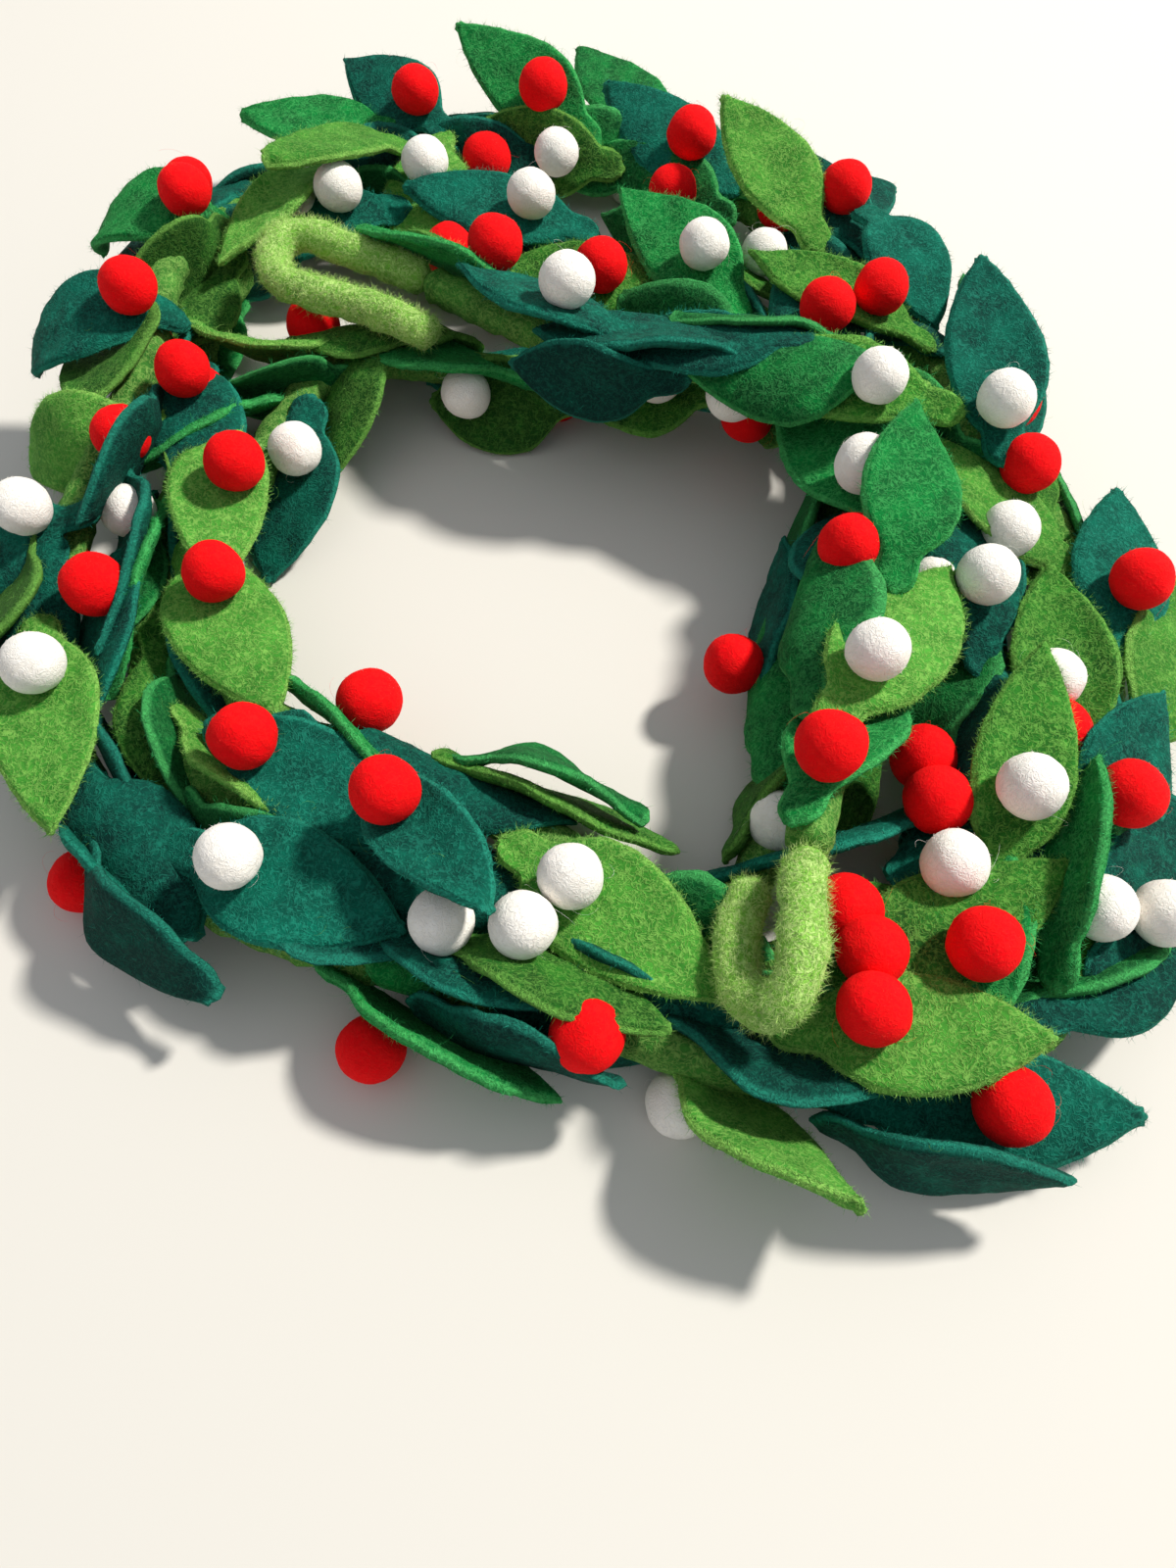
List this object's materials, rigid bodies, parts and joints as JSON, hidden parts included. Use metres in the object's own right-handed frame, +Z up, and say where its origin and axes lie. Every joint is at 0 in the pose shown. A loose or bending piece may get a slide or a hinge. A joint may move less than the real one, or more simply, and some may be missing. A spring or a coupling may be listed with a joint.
{
  "type": "leaf garland",
  "caption": "Wool felt leaf garland lying in a loose coil: pointed leaves, each with a felt ball, sewn along a soft rope that ends in a hanging loop at each end.",
  "frame": {"origin": "middle of the coil's outline, on the surface that it lies on", "axes": "+Z up; +Y along the coil's longer side, from the start loop's side to the far side; X across"},
  "size_m": [0.3138, 0.3601, 0.0571],
  "materials": {
    "rope_felt": "matte fuzzy wool felt",
    "lime_felt": "matte fuzzy wool felt",
    "emerald_felt": "matte fuzzy wool felt",
    "teal_felt": "matte fuzzy wool felt",
    "moss_felt": "matte fuzzy wool felt",
    "red_felt": "matte fuzzy wool felt",
    "white_felt": "matte fuzzy wool felt"
  },
  "bodies": {
    "root": {"core": "rope_felt", "start_loop": "rope_felt", "end_loop": "rope_felt", "leaf_01": "emerald_felt", "leaf_02": "lime_felt", "leaf_03": "emerald_felt", "leaf_04": "emerald_felt", "leaf_05": "moss_felt", "leaf_06": "teal_felt", "leaf_07": "emerald_felt", "leaf_08": "lime_felt", "leaf_09": "lime_felt", "leaf_10": "lime_felt", "leaf_11": "teal_felt", "leaf_12": "emerald_felt", "leaf_13": "teal_felt", "leaf_14": "lime_felt", "leaf_15": "teal_felt", "leaf_16": "emerald_felt", "leaf_17": "moss_felt", "leaf_18": "teal_felt", "leaf_19": "teal_felt", "leaf_20": "emerald_felt", "leaf_21": "emerald_felt", "leaf_22": "emerald_felt", "leaf_23": "lime_felt", "leaf_24": "teal_felt", "leaf_25": "moss_felt", "leaf_26": "moss_felt", "leaf_27": "moss_felt", "leaf_28": "moss_felt", "leaf_29": "teal_felt", "leaf_30": "lime_felt", "leaf_31": "teal_felt", "leaf_32": "moss_felt", "leaf_33": "emerald_felt", "leaf_34": "lime_felt", "leaf_35": "emerald_felt", "leaf_36": "lime_felt", "leaf_37": "emerald_felt", "leaf_38": "teal_felt", "leaf_39": "lime_felt", "leaf_40": "teal_felt", "leaf_41": "lime_felt", "leaf_42": "teal_felt", "leaf_43": "teal_felt", "leaf_44": "emerald_felt", "leaf_45": "lime_felt", "leaf_46": "lime_felt", "leaf_47": "teal_felt", "leaf_48": "emerald_felt", "leaf_49": "emerald_felt", "leaf_50": "teal_felt", "leaf_51": "moss_felt", "leaf_52": "teal_felt", "leaf_53": "teal_felt", "leaf_54": "moss_felt", "leaf_55": "teal_felt", "leaf_56": "teal_felt", "leaf_57": "emerald_felt"}
  },
  "joints": []
}
